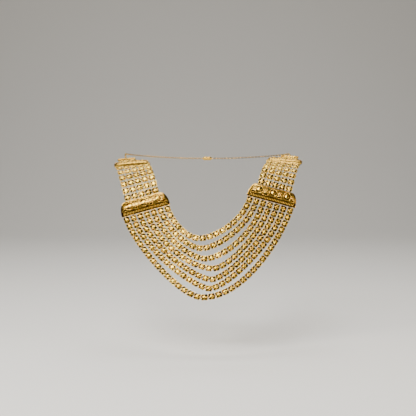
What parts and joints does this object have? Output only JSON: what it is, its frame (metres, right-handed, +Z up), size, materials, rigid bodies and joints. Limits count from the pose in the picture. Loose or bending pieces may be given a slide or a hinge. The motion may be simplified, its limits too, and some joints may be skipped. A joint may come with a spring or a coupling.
{
  "type": "collar bib necklace",
  "caption": "Wide gold collar necklace: flat shoulder straps of star links, domed bars, a bib of hanging link strands and a fine back chain.",
  "frame": {"origin": "middle of the neck, level with the crest of the shoulders that the straps lie on", "axes": "+X to the wearer's left, -Y out of the wearer's chest, +Z up"},
  "size_m": [0.295, 0.2486, 0.2145],
  "materials": {
    "strand_gold": "polished yellow gold, cast star links with dark pierced eyelets",
    "strap_gold": "polished yellow gold, cast star links in rigid rows",
    "bar_gold": "polished yellow gold, pressed and pierced half-barrel with a rolled bright rim",
    "chain_gold": "polished yellow gold, drawn wire and turned barrel"
  },
  "bodies": {
    "root": {"strand_1": "strand_gold", "strand_2": "strand_gold", "strand_3": "strand_gold", "strand_4": "strand_gold", "strand_5": "strand_gold", "strand_6": "strand_gold", "strand_7": "strand_gold", "lower_bar_right": "bar_gold", "strap_row_right_1": "strap_gold", "strap_row_right_2": "strap_gold", "strap_row_right_3": "strap_gold", "strap_row_right_4": "strap_gold", "strap_row_right_5": "strap_gold", "strap_row_right_6": "strap_gold", "upper_bar_right": "bar_gold", "narrow_row_right": "strap_gold", "end_bar_right": "bar_gold", "back_chain_right": "chain_gold", "lower_bar_left": "bar_gold", "strap_row_left_1": "strap_gold", "strap_row_left_2": "strap_gold", "strap_row_left_3": "strap_gold", "strap_row_left_4": "strap_gold", "strap_row_left_5": "strap_gold", "strap_row_left_6": "strap_gold", "upper_bar_left": "bar_gold", "narrow_row_left": "strap_gold", "end_bar_left": "bar_gold", "back_chain_left": "chain_gold", "clasp": "chain_gold"}
  },
  "joints": []
}
